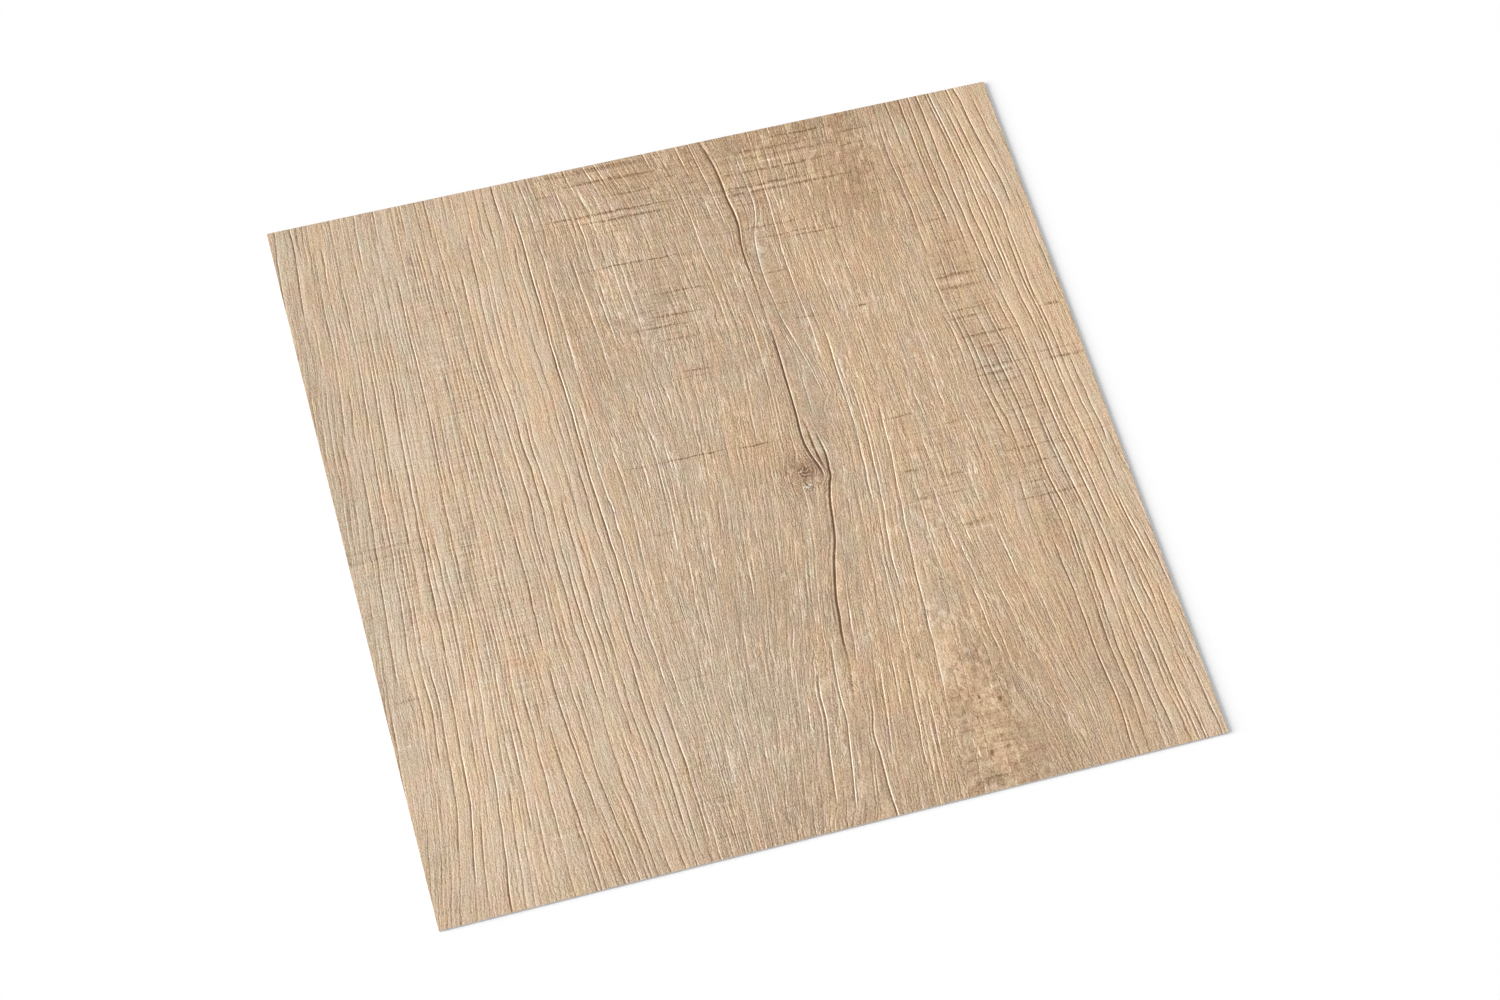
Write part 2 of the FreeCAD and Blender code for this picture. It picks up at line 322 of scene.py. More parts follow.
# Slow waves in the grain, in mm.
WAVE_GAP = 9.0               # across between the lines that wave by themselves
WAVE_STEP = 20.0             # along between their turns
WAVE_SIZE = 0.5              # how far they stray
LIVELY_SIZE = 0.9            # how far they stray on the lively right side
LIVELY_FROM = 250            # where that side starts across
BEYOND = 60                  # past the side edges that waves are laid
NAME_STEP = 0.5              # between lines whose lie is known in every row

# Grain lines, in mm where they aren't shares.
DEEP_HALF_WIDTH = 0.54       # of a groove that stands out
FAINT_HALF_WIDTH = 0.34      # of a faint one
SPLIT_HALF_WIDTH = 0.82
SPLIT_DEPTH = 1.7            # times a full groove
CROOK = 0.26                 # how far each line strays by itself
CROOK_STEP = 6.5             # along the tile between its turns
EDGE_FADE = 5.0              # over which a groove starts and ends
RIPPLE = 0.16                # share by which a line's depth varies
RIPPLE_STEP = 7.0            # along between its changes
FAINT_RANGE = (0.6, 1.25)    # least and most depth of a faint line, times its strip's
FAINT_FADE = 0.22            # share of its wave over which a faint line shows and goes
FAINT_UNDER = 0.5            # how much a faint line gives way to a stretch on it
CALMED = 0.75                # how much fainter lines are in a calm place

# How close grain lines lie.
TRACK_GAP = 1.15             # mm, the least between two grooves that stand out
FILL_STRAY = 0.16            # share of their gap that faint lines stray
PAST_EDGE = 3                # mm past the side edges that lines are laid
NEIGHBOUR_GAP = 1.15         # the least between any two, times their half widths
NEIGHBOUR_SPARE = 0.12       # mm added to that
PARTING_ROUNDS = 80          # times that lines too close are moved apart
HELD_FIRM = 0.98             # share by which a split is held against its neighbours

# Columns of the face.
LINE_REACH = 0.41            # share of the room beside a line that its section may take
INK_REACH = 0.4              # mm of print, the most that half the width of a line takes up
WIDE_GAP = 3.0               # mm between columns past which a plain one is added
WIDE_SHARE = 97              # percentile of the rows' gaps that is measured for that
SIDE_MARGIN = 0.04           # mm beside both ends of each row that stay free of points

SEED = 20

# Across a groove, from its left lip to its right lip: place as a share of its half width, depth, and
# how strong the painted highlight is there, on the flank that faces the key light.
DEEP_SECTION = ((-1.4, 0.0, 0.0), (-0.65, 0.5, 0.0), (0.0, 1.0, 0.0), (0.45, 0.5, 1.0), (0.95, 0.0, 0.15))
SPLIT_SECTION = ((-1.0, 0.0, 0.0), (-0.6, 0.85, 0.0), (0.35, 1.0, 0.0), (0.7, 0.45, 1.0), (1.15, 0.0, 0.1))
FAINT_SECTION = ((-1.5, 0.0, 0.0), (0.0, 1.0, 0.0), (0.45, 0.4, 1.1), (0.95, 0.0, 0.1))


def smooth_through(stations, values, places):
    """A smooth line through the values at rising stations, read at the places."""
    stations, values = np.asarray(stations, float), np.asarray(values, float)
    slopes = np.gradient(values, stations, axis=0)
    span = np.clip(np.searchsorted(stations, places) - 1, 0, len(stations) - 2)
    step = stations[span + 1] - stations[span]
    t = np.clip((places - stations[span]) / step, 0, 1)
    while t.ndim < values[span].ndim:
        t, step = t[..., None], step[..., None]
    start, end = values[span], values[span + 1]
    lead, trail = slopes[span] * step, slopes[span + 1] * step
    return (
        start * (2 * t**3 - 3 * t**2 + 1)
        + lead * (t**3 - 2 * t**2 + t)
        + end * (3 * t**2 - 2 * t**3)
        + trail * (t**3 - t**2)
    )


def smooth_noise(rng, places, step, columns):
    """Random lines between -1 and 1, one for each column, that turn about once in every step."""
    stations = np.arange(places.min() - step, places.max() + 2 * step, step)
    return smooth_through(stations, rng.uniform(-1, 1, (len(stations), columns)), places)


class GrainFlow:
    """Where the grain lines lie at each of a list of rows along the tile."""

    def __init__(self, rows, rng):
        self.rows = rows
        guides = np.array(GRAIN_GUIDES, float).T
        self.names = guides[GUIDE_STATIONS.index(NAMING_STATION)]
        self.guides = smooth_through(GUIDE_STATIONS, guides, rows)
        self.wave_places = np.arange(-BEYOND, WIDTH + BEYOND, WAVE_GAP)
        size = np.where(self.wave_places > LIVELY_FROM, LIVELY_SIZE, WAVE_SIZE)
        self.waves = size * smooth_noise(rng, rows, WAVE_STEP, len(self.wave_places))
        self.known_names = np.arange(self.names[0], self.names[-1], NAME_STEP)
        self.known_lies = self.lie(self.known_names)

    def name_at(self, across, along):
        """The name of the grain line through a point, which is where it lies halfway along."""
        row = np.abs(self.rows - along).argmin()
        return np.interp(across, self.known_lies[row], self.known_names)

    def lie(self, names):
        """Where the named lines lie across the tile: a row for each row, a column for each line."""
        names = np.broadcast_to(names, (len(self.rows), np.shape(names)[-1]))
        plain = np.array([np.interp(n, self.names, g) for n, g in zip(names, self.guides)])
        waves = np.array([np.interp(p, self.wave_places, w) for p, w in zip(plain, self.waves)])
        return round_the_knot(plain + waves, self.rows[:, None])


def round_the_knot(across, along):
    """The grain is pushed aside where it passes the knot."""
    off, far = across - KNOT[0], (along - KNOT[1]) / KNOT_REACH[1]
    push = KNOT_PUSH * np.tanh(off / KNOT_PARTING) * np.exp(-np.abs(off) / KNOT_REACH[0])
    return across + push * np.exp(-(far**2))


def lay_rows():
    """Places along the tile where the face's rows lie: on the corner arcs, and closer at the knot."""
    inset = CORNER_RADIUS - EDGE_ROUNDING
    arc = CORNER_RADIUS - inset * np.cos(np.radians((0, 45, 90)))
    spread = np.linspace(CORNER_RADIUS, LENGTH - CORNER_RADIUS, ROWS_READ)
    density = np.cumsum(1 + KNOT_CLOSER * np.exp(-(((spread - KNOT[1]) / KNOT_CLOSE_REACH) ** 2)))
    share = (density - density[0]) / (density[-1] - density[0])
    middle = np.interp(np.linspace(0, 1, ROWS), share, spread)
    return np.concatenate([arc[:2], middle, LENGTH - arc[1::-1]])


def side_inset(rows):
    """How far the flat of the face stays inside the side walls at each row."""
    inset = CORNER_RADIUS - EDGE_ROUNDING
    past = np.maximum(CORNER_RADIUS - np.minimum(rows, LENGTH - rows), 0)
    return CORNER_RADIUS - np.sqrt(np.maximum(inset**2 - past**2, 0))


def ease(value):
    """From 0 to 1 as the value does, starting and ending gently."""
    value = np.clip(value, 0, 1)
    return value * value * (3 - 2 * value)


def stretch_shown(rows, start, end):
    """1 along a groove's stretch, easing to 0 past its ends, unless it runs off the tile there."""
    first = 1 if start <= 1 else ease((rows - start) / EDGE_FADE + 0.5)
    last = 1 if end >= LENGTH - 1 else ease((end - rows) / EDGE_FADE + 0.5)
    return first * last * np.ones(len(rows))


def grain_line(name, half_width, section, stretches, **more):
    """A line of the grain, with the stretches of it that stand out."""
    return {"name": name, "half_width": half_width, "section": section, "stretches": stretches, **more}


class GrainTracks:
    """Every grain line of the face: its name, where it lies, how wide it is and how deep, row by row."""

    def __init__(self, flow, rng):
        self.flow, self.rows = flow, flow.rows
        tracks = self.hand_laid() + self.split_tracks()
        tracks.sort(key=lambda t: t["name"])
        tracks = self.fill(tracks, rng)
        self.names = np.array([t["name"] for t in tracks])
        self.half_width = np.array([t["half_width"] for t in tracks])
        self.sections = [t["section"] for t in tracks]
        self.across = flow.lie(self.names)
        self.across += CROOK * smooth_noise(rng, self.rows, CROOK_STEP, len(tracks))
        self.depth = np.stack([self.depth_of(t, rng) for t in tracks], 1)
        self.held = np.zeros(self.across.shape)
        for k, track in enumerate(tracks):
            if "path" in track:
                start, end, _ = track["stretches"][0]
                shown = stretch_shown(self.rows, start - EDGE_FADE, end + EDGE_FADE)
                path = smooth_through(*track["path"], self.rows)
                self.across[:, k] += (path - self.across[:, k]) * shown
                self.held[:, k] = shown
        self.part_neighbours()
        for spot in CALM:
            calm = patch(self.across, self.rows[:, None], *spot) * (1 - self.held)
            self.depth *= 1 - CALMED * calm

    def hand_laid(self):
        """The grooves that stand out, those on one line sharing a track."""
        found = sorted((self.flow.name_at(g[0], g[1]), g) for g in STRONG_GROOVES)
        tracks = []
        for name, (_, start, end, depth) in found:
            last = tracks[-1] if tracks else None
            near = last and name - last["name"] < TRACK_GAP
            free = near and all(end < s or start > e for s, e, _ in last["stretches"])
            if free:
                last["stretches"].append((start, end, depth))
                continue
            if near:
                name = last["name"] + TRACK_GAP
            tracks.append(grain_line(name, DEEP_HALF_WIDTH, DEEP_SECTION, [(start, end, depth)]))
        return tracks

    def split_tracks(self):
        """The splits, each on its own path."""
        tracks = []
        for points, depth, cream in SPLITS:
            across, along, share = np.array(points, float).T
            names = [self.flow.name_at(x, y) for x, y in zip(across, along)]
            tracks.append(grain_line(
                float(np.mean(names)), SPLIT_HALF_WIDTH * (0.5 + 0.5 * depth),
                [(place, sunk, cream * pale) for place, sunk, pale in SPLIT_SECTION],
                [(along[0], along[-1], depth * SPLIT_DEPTH)],
                path=(along, across), share=np.interp(self.rows, along, share)))
        return tracks

    def fill(self, laid, rng):
        """Fainter grain lines between the listed ones, as close as their strip has them."""
        edges = [self.flow.name_at(x, y) for x in (0, WIDTH) for y in (0, LENGTH)]
        stops = [min(edges) - PAST_EDGE] + [t["name"] for t in laid] + [max(edges) + PAST_EDGE]
        tracks = list(laid)
        for left, right in zip(stops, stops[1:]):
            gap = strip_at((left + right) / 2)[1]
            count = int(round((right - left) / gap)) - 1
            step = (right - left) / (count + 1) if count > 0 else 0
            for i in range(count):
                name = left + step * (i + 1 + rng.uniform(-FILL_STRAY, FILL_STRAY))
                tracks.append(grain_line(name, FAINT_HALF_WIDTH, FAINT_SECTION, []))
        return sorted(tracks, key=lambda t: t["name"])

    def depth_of(self, track, rng):
        """A track's depth at each row: its own faint line, and the stretches that stand out."""
        _, _, depth, cover, run, firmness = strip_at(track["name"])
        wave = smooth_noise(rng, self.rows, run, 1)[:, 0] * 0.5 + 0.5
        ripple = smooth_noise(rng, self.rows, RIPPLE_STEP, 1)[:, 0]
        own = depth * rng.uniform(*FAINT_RANGE) * ease((wave - 1 + cover) / FAINT_FADE)
        for start, end, strong in track["stretches"]:
            shown = stretch_shown(self.rows, start, end)
            own = np.maximum(own * (1 - FAINT_UNDER * shown), firmness * strong * shown)
        return own * track.get("share", 1 + RIPPLE * ripple)

    def part_neighbours(self):
        """Moves lines that lie too close apart, the splits least of all and never from each other."""
        free = 1 - HELD_FIRM * self.held
        both_held = self.held[:, 1:] * self.held[:, :-1]
        need = NEIGHBOUR_GAP * (self.half_width[1:] + self.half_width[:-1]) + NEIGHBOUR_SPARE
        weight = free[:, 1:] / (free[:, 1:] + free[:, :-1])
        for _ in range(PARTING_ROUNDS):
            lack = np.maximum(need - np.diff(self.across, axis=1), 0) * (1 - both_held)
            self.across[:, 1:] += 0.5 * lack * weight
            self.across[:, :-1] -= 0.5 * lack * (1 - weight)


def strip_at(name):
    """The strip of the tile that a grain line lies in."""
    return next(s for s in GRAIN_STRIPS if name < s[0])


class FaceGrid:
    """The face's columns, row by row: where they lie, how deep they are and which grain line they are."""

    def __init__(self, tracks):
        rooms = np.diff(tracks.across, axis=1)
        least = np.pad(rooms, ((0, 0), (1, 1)), mode="edge")
        reach = np.minimum(tracks.half_width, LINE_REACH * np.minimum(least[:, 1:], least[:, :-1]))
        across, depth, cream, names = [], [], [], []
        for k, (name, half) in enumerate(zip(tracks.names, tracks.half_width)):
            for place, share, pale in tracks.sections[k]:
                across.append(tracks.across[:, k] + place * reach[:, k])
                depth.append(share * tracks.depth[:, k])
                # Painted highlight on each column, strongest on the groove's flank that faces the key light.
                cream.append(pale * tracks.depth[:, k])
                names.append(name + place * min(half, INK_REACH))
            if k + 1 == len(tracks.names):
                break
            left = tracks.across[:, k] + reach[:, k]
            right = tracks.across[:, k + 1] - reach[:, k + 1]
            count = int(np.percentile(right - left, WIDE_SHARE) / WIDE_GAP)
            for i in range(count):
                share = (i + 1) / (count + 1)
                across.append(left + share * (right - left))
                for values in (depth, cream):
                    values.append(np.zeros(len(left)))
                names.append(name + share * (tracks.names[k + 1] - name))
        self.across = np.stack(across, 1)
        self.depth = np.stack(depth, 1)
        self.cream = np.stack(cream, 1)
        self.names = np.maximum.accumulate(np.array(names))


class TileSurface:
    """The closed surface of the tile, as arrays that a mesh takes: the face from its grid, then the
    pressed edge, the side walls and the flat back."""

    def __init__(self, grid, rows, depth):
        self.rows, self.low = rows, side_inset(rows)
        self.high = WIDTH - self.low
        self.places(grid, depth)
        self.face_quads()
        self.walls()

    def places(self, grid, depth):
        """Numbers the points of the face, which ends at the tile's own sides in every row."""
        across = np.maximum.accumulate(grid.across, axis=1)
        past = across >= self.high[:, None] - SIDE_MARGIN
        inside = (across > self.low[:, None] + SIDE_MARGIN) & ~past
        counts = inside.sum(1) + 2
        self.first = np.concatenate([[0], np.cumsum(counts)[:-1]])
        self.last = self.first + counts - 1
        self.index = self.first[:, None] + np.cumsum(inside, axis=1) + past
        total = int(counts.sum())
        self.across, self.groove, self.cream, self.name = (np.zeros(total) for _ in range(4))
        for r, (start, end) in enumerate(zip(self.first, self.last)):
            ends = np.array([self.low[r], self.high[r]])
            keep = inside[r]
            sources = (self.groove, grid.depth[r]), (self.cream, grid.cream[r]), (self.name, grid.names)
            for target, source in sources:
                left, right = np.interp(ends, across[r], source)
                target[start:end + 1] = np.concatenate([[left], source[keep], [right]])
            self.across[start:end + 1] = np.concatenate([ends[:1], across[r][keep], ends[1:]])
        self.along = np.repeat(self.rows, counts)
        self.height = THICKNESS - depth * self.groove - knot_dip(self.across, self.along)

    def face_quads(self):
        """The face's quads between two rows, or triangles where a column has left the tile in one."""
        near, far = self.index[1:], self.index[:-1]
        corners = np.stack([near[:, :-1], near[:, 1:], far[:, 1:], far[:, :-1]], -1).reshape(-1, 4)
        near_point = corners[:, 0] == corners[:, 1]
        far_point = corners[:, 2] == corners[:, 3]
        self.faces = corners[~near_point & ~far_point].tolist()
        self.faces += corners[near_point & ~far_point][:, 1:].tolist()
        self.faces += corners[~near_point & far_point][:, :3].tolist()

    def walls(self):
        """The rings below the face's border, each a little further out or down, and the back."""
        far = np.arange(self.first[0], self.last[0] + 1)
        near = np.arange(self.last[-1], self.first[-1] - 1, -1)
        self.border = np.concatenate([far, self.last[1:-1], near, self.first[-2:0:-1]])
        count = len(self.border)
        place = np.stack([self.across[self.border], self.along[self.border]], 1)
        middle = np.clip(place, CORNER_RADIUS, (WIDTH - CORNER_RADIUS, LENGTH - CORNER_RADIUS))
        outward = place - middle
        outward /= np.linalg.norm(outward, axis=1)[:, None]
        top = self.height[self.border]
        rings = [(place, top)]
        for angle in np.radians((45, 90)):
            drop = EDGE_ROUNDING * (1 - math.cos(angle))
            level = np.minimum(THICKNESS - drop, top - LEAST_DROP * drop)
            rings.append((place + outward * EDGE_ROUNDING * math.sin(angle), level))
        rings.append((rings[-1][0], np.zeros(count)))
        points = [np.column_stack([self.across, self.along, self.height])]
        points += [np.column_stack([at, level]) for at, level in rings[1:]]
        self.points = np.concatenate(points)
        self.rings = [self.border]
        for k in range(len(rings) - 1):
            self.rings.append(len(self.across) + k * count + np.arange(count))
        self.wall_start = len(self.faces)
        for upper, lower in zip(self.rings, self.rings[1:]):
            after = np.roll(np.arange(count), -1)
            self.faces += np.stack([upper, upper[after], lower[after], lower], -1).tolist()
        self.faces.append(self.rings[-1].tolist())

    def positions(self):
        """The points in metres, in the tile's own frame."""
        across, along, height = self.points.T
        return np.column_stack([across - WIDTH / 2, LENGTH / 2 - along, height]) * MM


def knot_dip(across, along):
    """How far the face sinks at the knot: a shallow bowl with a raised rim round its core."""
    off = np.hypot(across - KNOT[0], along - KNOT[1])
    depth, radius = KNOT_BOWL
    height, past_core, half_width = KNOT_RIM
    bowl = depth * np.exp(-((off / radius) ** 2))
    rim = height * np.exp(-(((off - KNOT_CORE - past_core) / half_width) ** 2))
    return bowl - rim * (bowl > RIM_FROM)


def tone_at(across, along):
    """Lightness and warmth of the print at each point, as the patches of tone add up, and its blotches."""
    tone = np.zeros((len(across), 3))
    for x, y, half_x, half_y, light, warm in TONE_PATCHES:
        share = patch(across, along, x, y, half_x, half_y)
        tone[:, 0] += light * share
        tone[:, 1] += warm * share
    for blotch in BLOTCHES:
        tone[:, 2] += patch(across, along, *blotch)
    return tone


def patch(across, along, x, y, half_x, half_y):
    """1 in the middle of a patch, fading out round it."""
    return np.exp(-(((across - x) / half_x) ** 2) - ((along - y) / half_y) ** 2)


def what_the_print_reads(surface):
    """What the nodes of the print are told about every point. A wall's points repeat the border's."""
    beside = np.concatenate([np.arange(len(surface.across))] + [surface.border] * 3)
    across, along = surface.points[:, :2].T
    left, left_end, right, right_end = FIGURED
    figured = ease((across - left) / (left_end - left)) * ease((right_end - across) / (right_end - right))
    return {
        "grain_place": np.column_stack([surface.name[beside], along, across]) * MM,
        "groove": surface.groove[beside],
        # Painted highlight on the lit flanks of the grooves and splits.
        "cream_edge": surface.cream[beside],
        "tone": tone_at(across, along),
        "figured": figured,
        "hatched": np.minimum(sum(patch(across, along, *spot) for spot in HATCHED), 1),
    }


def tile_mesh(settings):
    """The tile as a mesh in metres, with what its print needs to know about every point."""
    rng = np.random.default_rng(SEED)
    flow = GrainFlow(lay_rows(), rng)
    tracks = GrainTracks(flow, rng)
    surface = TileSurface(FaceGrid(tracks), flow.rows, settings.groove_depth / MM)
    mesh = bpy.data.meshes.new("embossed_tile")
    mesh.from_pydata(surface.positions().tolist(), [], surface.faces)
    smooth = np.ones(len(surface.faces), bool)
    smooth[-1] = False
    mesh.polygons.foreach_set("use_smooth", smooth)
    body = np.arange(len(surface.faces)) >= surface.wall_start + len(surface.border)
    mesh.polygons.foreach_set("material_index", body.astype(np.int32))

    for name, values in what_the_print_reads(surface).items():
        kind, field = ("FLOAT_VECTOR", "vector") if values.ndim == 2 else ("FLOAT", "value")
        made = mesh.attributes.new(name, kind, "POINT")
        made.data.foreach_set(field, values.astype(np.float32).ravel())
    map_for_baking(mesh, surface)
    sides = np.zeros(len(surface.faces), int)
    sides[surface.wall_start:], sides[-1] = 1, 2
    weigh_normals(mesh, sides)
    print("tile mesh:", len(mesh.vertices), "points,", sum(len(f) - 2 for f in surface.faces), "triangles")
    return mesh


def weigh_normals(mesh, sides):
    """Gives each corner the normal of the faces round it on the same side, the large ones counting most,
    so that the flats between grooves look flat."""
    count = len(mesh.polygons)
    normals, areas, sizes = np.zeros(3 * count), np.zeros(count), np.zeros(count, np.int32)
    corners = np.zeros(len(mesh.loops), np.int32)
    mesh.polygons.foreach_get("normal", normals)
    mesh.polygons.foreach_get("area", areas)
    mesh.polygons.foreach_get("loop_total", sizes)
    mesh.loops.foreach_get("vertex_index", corners)
    weighed = np.repeat(normals.reshape(-1, 3) * areas[:, None], sizes, axis=0)
    keys = corners + len(mesh.vertices) * np.repeat(sides, sizes)
    total = np.zeros((len(mesh.vertices) * (sides.max() + 1), 3))
    np.add.at(total, keys, weighed)
    found = total[keys]
    mesh.normals_split_custom_set((found / np.linalg.norm(found, axis=1)[:, None]).tolist())


def map_for_baking(mesh, surface):
    """A flat map: the face over most of it, then a strip for the walls and a small one for the back."""
    layer = mesh.uv_layers.new(name="OFBake", do_init=False)
    face_low, wall_low, back_high = 0.06, 0.035, 0.03
    across, along = surface.points[:, 0] / WIDTH, 1 - surface.points[:, 1] / LENGTH
    spots = []
    for face in surface.faces[:surface.wall_start]:
        spots += [(across[i], face_low + (1 - face_low) * along[i]) for i in face]
    border = len(surface.border)
    levels = np.linspace(face_low - 0.005, wall_low, len(surface.rings))
    for upper, lower in zip(levels, levels[1:]):
        for i in range(border):
            start, end = i / border, (i + 1) / border
            spots += [(start, upper), (end, upper), (end, lower), (start, lower)]
    spots += [(across[i], back_high * along[i]) for i in surface.faces[-1]]
    layer.uv.foreach_set("vector", np.asarray(spots, np.float32).ravel())


# Crooks of the finest grooves: mm along between their turns, and how far they stray in gaps.
FINE_CROOK_STEP = 2.2
FINE_CROOK = 1.2

# Shares of its half size between which a small mark fades out.
MARK_FADE = (0.3, 1.3)

# The saw's marks waver: mm between their turns, and how far in mm.
SAW_WOBBLE_STEP = 8
SAW_WOBBLE = 1.6

# The print's soft streaks: gap and length in mm, detail, and share of the lightness.
SOFT_STREAKS = ((4.5, 90.0, 2.0, 0.03), (1.2, 24.0, 2.0, 0.08), (0.45, 2.4, 1.0, 0.20))

# Fine grooves: gap and length in mm, width, the least and most of their cover, their lightness and depth
# in mm.
FINE_GROOVES = (
    (1.15, 30.0, 0.15, 0.36, 0.52, -0.18, 0.16),
    (0.7, 14.0, 0.17, 0.36, 0.52, -0.18, 0.12),
    (1.7, 12.0, 0.09, 0.42, 0.56, 0.22, 0.10),
)

# The cover of the fine grooves changes over this many of their gaps and lengths.
COVER_GAPS = 3
COVER_LENGTHS = 1.5

# Noise of the print that is drawn out in lines: gap and length in mm, detail and seed.
SAW_BREAKS = (1.6, 3.0, 2.0, 31.0)
HATCH = (0.8, 12, 1.0, 77.0)
BLOTCH = (2.6, 3.6, 4.0, 91.0)
WARMTH = (7, 20, 3.0, 61.0)
BLUSH = (7, 9, 2.0, 97.0)
BACK_LINES = (1.8, 60, 2.0, 5.0)

# Small marks in the print: across, along, half size across and along in mm, and change of lightness.
SPECKS = (
    (57.5, 211.2, 0.8, 1.1, -0.2), (215.5, 290.2, 0.6, 1.3, -0.55), (222.5, 289, 1.6, 0.9, -0.3),
    (217.8, 267.3, 0.6, 0.9, -0.45), (225.2, 269.6, 0.9, 0.8, -0.4), (220.5, 284, 1.4, 1.2, -0.3),
    (222.4, 270.4, 1.0, 1.9, 0.4), (211, 288.5, 0.5, 2.6, 0.45), (200.3, 245, 1.2, 1.4, -0.25),
    (303, 109.5, 1.8, 0.5, 0.3),
)

# Strengths that the fine figure of the middle changes: without it, and what the full figure adds.
FIGURE_CHANGES = (
    (0.65, 0.35),  # how far the fine grooves show
    (0.9, 0.25),   # painted highlight on the grooves' lit flanks and lips
    (0.8, -0.4),   # ink in the grooves, and painted shade there
    (0.85, -0.8),  # ink in the fine grooves
)

# How much each part of the print adds to its lightness, which starts at the plain wood's.
PLAIN_LIGHT = 0.6
LIGHTNESS = {
    "sand": 0.95, "tone": 0.2, "figured": -0.155, "saw": -0.85, "halo": -0.18, "rings": 0.06,
    "pith": 0.5, "hatch": 0.5, "blotches": 0.13,
}

# How much each part adds to the warmth, to the blush, to the roughness and, in mm, to the finest relief.
WARMING = {"warmth": 4.2, "tone": 1.3, "halo": -0.5}
BLUSHING = {"blush": 5.5, "halo": 1.1}
ROUGHENING = {"sand": 0.25, "groove": 0.12}
RELIEF = {"sand": 0.3, "hatch": 0.15, "rings": 0.06, "pith": 0.1, "blotches": 0.05}

# The inks' places on the scale of lightness, from the darkest.
INK_STOPS = (0.0, 0.5, 0.78, 1.0)

# The knot's outline wanders: mm between its turns, and how far in mm. Then the grain of its broken rings
# and of its pith in mm.
KNOT_WANDER_STEP = 5
KNOT_WANDER = 2.5
RING_BREAK = 3.5
PITH_GRAIN = 1.7

# The grain in mm of the sand over the print, of the dots that break the saw's marks, and of the back.
SAND_GRAIN = 0.75
DOT_GRAIN = 0.8
BACK_GRAINS = (0.3, 2.5)

# The back and the cut sides: how much each part adds to the mottle, and to the relief in mm.
MOTTLE = {"fine": 0.4, "coarse": 0.35, "drawn": 0.25}
BACK_RELIEF = {"fine": 0.02, "drawn": 0.02}
BACK_SHADES = (0.82, 1.16)   # its darkest and palest, times its colour


class Bench:
    """Lays nodes in one tree. An input is given a socket, which is linked, or a plain value."""

    def __init__(self, tree):
        self.tree = tree

    def add(self, kind, inputs=(), **settings):
        made = self.tree.nodes.new(kind)
        count = len(self.tree.nodes)
        made.location = (240 * (count % 9), -300 * (count // 9))
        for name, value in settings.items():
            setattr(made, name, value)
        for name, value in dict(inputs).items():
            if isinstance(value, bpy.types.NodeSocket):
                self.tree.links.new(value, made.inputs[name])
            else:
                made.inputs[name].default_value = value
        return made

    def maths(self, operation, *values, clamp=False):
        made = self.add("ShaderNodeMath", enumerate(values), operation=operation, use_clamp=clamp)
        return made.outputs[0]

    def vector(self, operation, *values):
        made = self.add("ShaderNodeVectorMath", enumerate(values), operation=operation)
        return made.outputs["Value" if operation in ("LENGTH", "DISTANCE") else "Vector"]

    def mix(self, share, first, second, blend="MIX"):
        made = self.add("ShaderNodeMix", {0: share, 6: first, 7: second}, data_type="RGBA", blend_type=blend)
        return made.outputs[2]

    def spread(self, value, low, high, to_low=0.0, to_high=1.0, smooth=False):
        inputs = {"Value": value, "From Min": low, "From Max": high, "To Min": to_low, "To Max": to_high}
        made = self.add("ShaderNodeMapRange", inputs, interpolation_type="SMOOTHSTEP" if smooth else "LINEAR")
        return made.outputs["Result"]

    def noise(self, place, scale, detail=2.0, roughness=0.5):
        inputs = {"Vector": place, "Scale": scale, "Detail": detail, "Roughness": roughness}
        return self.add("ShaderNodeTexNoise", inputs).outputs["Fac"]

    def centred(self, noise):
        """Noise shifted so that it lies evenly about 0."""
        return self.maths("SUBTRACT", noise, 0.5)

    def weighed(self, start, parts, weights):
        """The start, with each named part added by its weight."""
        total = start
        for name, value in parts.items():
            total = self.maths("MULTIPLY_ADD", value, weights[name], total)
        return total

    def split(self, place):
        return self.add("ShaderNodeSeparateXYZ", {0: place}).outputs

    def joined(self, *parts):
        return self.add("ShaderNodeCombineXYZ", enumerate(parts)).outputs[0]

    def attribute(self, name, output="Fac"):
        return self.add("ShaderNodeAttribute", attribute_name=name).outputs[output]

    def group(self, tree, inputs):
        return self.add("ShaderNodeGroup", inputs, node_tree=tree).outputs[0]

    def lines(self, groups, place, gap, length, detail, seed):
        """Lines along the grain, their gap and length in millimetres."""
        inputs = {"Place": place, "Spacing": gap * MM, "Length": length * MM, "Detail": detail, "Seed": seed}
        return self.group(groups["lines"], inputs)

    def mark(self, groups, place, x, y, half_x, half_y):
        inputs = {"Place": place, "Middle": (x * MM, y * MM, 0), "Half Size": (half_x * MM, half_y * MM, 1)}
        return self.group(groups["mark"], inputs)

    def link(self, output, target):
        self.tree.links.new(output, target)


def new_group(name, result, inputs):
    """A shader group with one result, and a bench to fill it at. Its inputs are numbers with a default, and
    vectors, which have none."""
    tree = bpy.data.node_groups.new(name, "ShaderNodeTree")
    for label, default in inputs.items():
        kind = "NodeSocketVector" if default is None else "NodeSocketFloat"
        socket = tree.interface.new_socket(label, in_out="INPUT", socket_type=kind)
        if default is not None:
            socket.default_value = default
    tree.interface.new_socket(result, in_out="OUTPUT", socket_type="NodeSocketFloat")
    ins, outs = tree.nodes.new("NodeGroupInput"), tree.nodes.new("NodeGroupOutput")
    return tree, Bench(tree), ins.outputs, outs.inputs[0]


